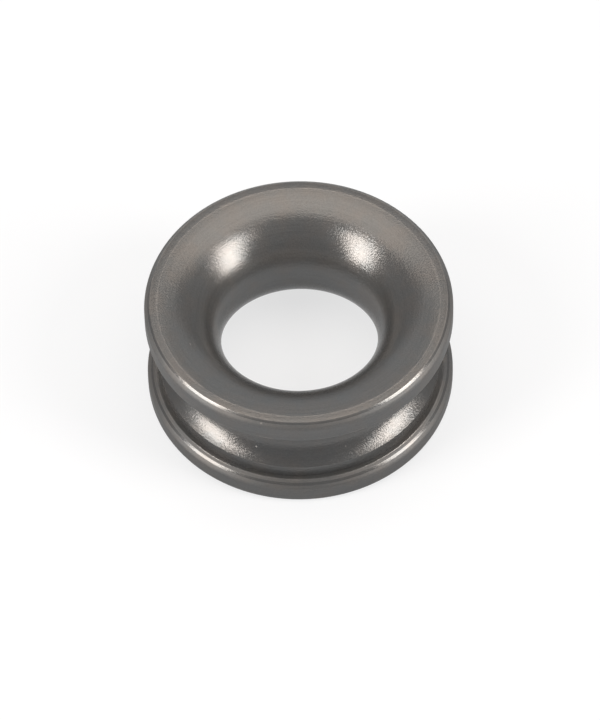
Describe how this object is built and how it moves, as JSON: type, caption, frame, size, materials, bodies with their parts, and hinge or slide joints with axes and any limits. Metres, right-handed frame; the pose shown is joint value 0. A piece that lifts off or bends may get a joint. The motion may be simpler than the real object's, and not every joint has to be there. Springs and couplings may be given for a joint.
{
  "type": "rope fairlead eye",
  "caption": "Turned low friction ring: a flared waisted throat for a running rope, a round-bottomed lashing groove outside, and a shoulder with a flange at the base.",
  "frame": {"origin": "on the turning axis, at the plane of the lower land that the eye stands on", "axes": "+Z along the turning axis, from the flange up to the rim; X and Y are alike, because the eye is a body of revolution"},
  "size_m": [0.0392, 0.0392, 0.0166],
  "materials": {
    "anodised_aluminium": "satin hard anodised, dark grey"
  },
  "bodies": {
    "root": {"fairlead_eye": "anodised_aluminium"}
  },
  "joints": []
}
